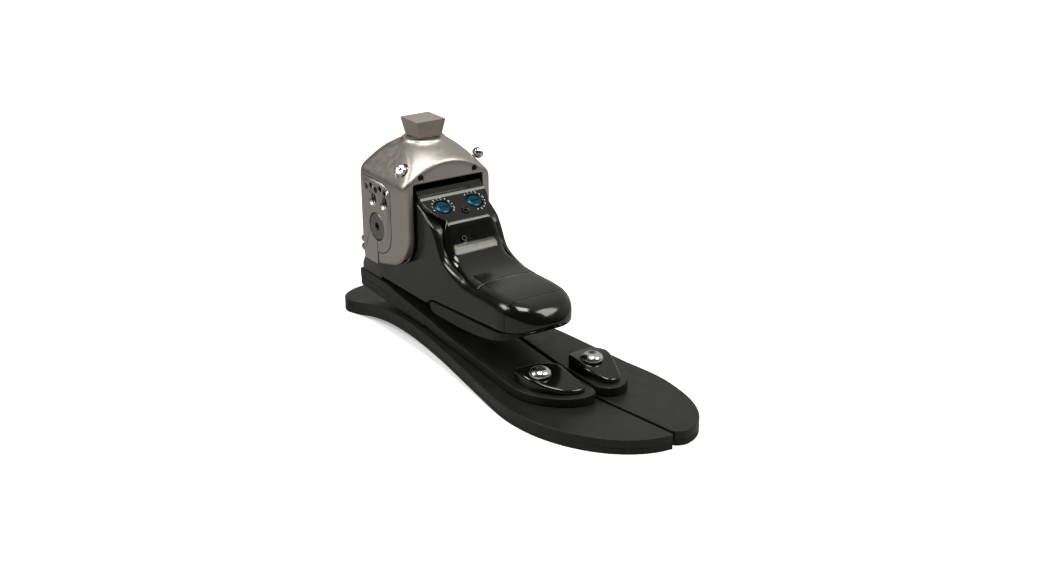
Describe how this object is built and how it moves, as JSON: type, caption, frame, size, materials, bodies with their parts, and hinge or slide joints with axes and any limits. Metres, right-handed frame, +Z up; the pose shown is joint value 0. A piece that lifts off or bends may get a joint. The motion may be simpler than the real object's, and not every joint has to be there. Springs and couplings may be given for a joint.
{
  "type": "prosthetic foot with hydraulic ankle",
  "caption": "Right prosthetic foot: split carbon sole and upper spring, a hydraulic ankle body with valve knobs, and a metal yoke with a pyramid that tilts on a cross pin.",
  "frame": {"origin": "on the ground, at the middle of the foot's length and width", "axes": "-Y toward the toes, +Y toward the heel, +X toward the big-toe (medial) side, +Z up"},
  "size_m": [0.0852, 0.2548, 0.123],
  "materials": {
    "carbon": "woven carbon composite, satin",
    "pad_rubber": "matt moulded rubber",
    "black_anodised": "black hard-anodised, gently glossy",
    "gloss_black": "gloss black",
    "satin_aluminium": "bead-blasted, warm grey",
    "pyramid_metal": "machined, warm grey",
    "dark_steel": "oiled dark steel",
    "bright_steel": "polished stainless steel",
    "blue_anodised": "blue anodised",
    "bronze": "bearing bronze",
    "seal_rubber": "black nitrile"
  },
  "bodies": {
    "foot": {"sole_plate": "carbon", "upper_spring": "carbon", "heel_wedge": "carbon", "manifold_cover": "carbon", "sole_pad": "pad_rubber", "hydraulic_body": "black_anodised", "nose_cap": "gloss_black", "console_cover": "gloss_black", "toe_boss_lateral": "gloss_black", "toe_boss_medial": "gloss_black", "cylinder_plug": "dark_steel", "fill_plug": "dark_steel", "bleed_screw": "dark_steel", "toe_nut_lateral": "dark_steel", "toe_nut_medial": "dark_steel", "toe_bolt_lateral": "bright_steel", "toe_bolt_medial": "bright_steel", "body_bolt_rear_lateral": "bright_steel", "body_bolt_rear_medial": "bright_steel", "body_bolt_front_lateral": "bright_steel", "body_bolt_front_medial": "bright_steel", "manifold_screw_rear": "bright_steel", "manifold_screw_front": "bright_steel", "nose_cap_screw": "bright_steel", "pivot_bush_lateral": "bronze", "pivot_bush_medial": "bronze", "thrust_washer_lateral": "bronze", "thrust_washer_medial": "bronze", "nose_cap_seal": "seal_rubber", "reservoir_bladder": "seal_rubber", "cylinder_plug_seal": "seal_rubber", "valve_seal_lateral": "seal_rubber", "valve_seal_medial": "seal_rubber", "shaft_seal_lateral": "seal_rubber", "shaft_seal_medial": "seal_rubber"},
    "ankle_yoke": {"yoke": "satin_aluminium", "side_plate_lateral": "satin_aluminium", "side_plate_medial": "satin_aluminium", "pyramid": "pyramid_metal", "pyramid_screw": "bright_steel", "pivot_pin": "dark_steel", "crank_arm": "dark_steel", "crank_screw": "dark_steel", "shoulder_screw_lateral": "bright_steel", "shoulder_screw_medial": "bright_steel", "lintel_screw_lateral": "dark_steel", "lintel_screw_medial": "dark_steel", "clamp_screw_lateral_upper": "bright_steel", "clamp_screw_lateral_lower": "bright_steel", "clamp_screw_medial_upper": "bright_steel", "clamp_screw_medial_lower": "bright_steel"},
    "piston": {"piston": "satin_aluminium", "piston_seal_front": "seal_rubber", "piston_seal_rear": "seal_rubber"},
    "knob_lateral": {"valve_knob_lateral": "blue_anodised", "valve_spindle_lateral": "dark_steel"},
    "knob_medial": {"valve_knob_medial": "blue_anodised", "valve_spindle_medial": "dark_steel"}
  },
  "joints": [
    {"name": "ankle", "type": "hinge", "parent": "foot", "child": "ankle_yoke", "pos_m": [-0.0104, 0.0735, 0.064], "axis": [1, 0, 0], "range_deg": [-20, 10]},
    {"name": "piston_slide", "type": "slide", "parent": "foot", "child": "piston", "axis": [0, 1, 0], "range_m": [-0.0064, 0.0033]},
    {"name": "valve_turn_lateral", "type": "hinge", "parent": "foot", "child": "knob_lateral", "pos_m": [-0.0204, 0.03292, 0.08298], "axis": [0, -0.5446, 0.8387], "range_deg": [0, 270]},
    {"name": "valve_turn_medial", "type": "hinge", "parent": "foot", "child": "knob_medial", "pos_m": [-0.0004, 0.03292, 0.08298], "axis": [0, -0.5446, 0.8387], "range_deg": [0, 270]}
  ],
  "couplings": [
    {"joint": "piston_slide", "follows": "ankle", "m_per_rad": 0.018}
  ]
}
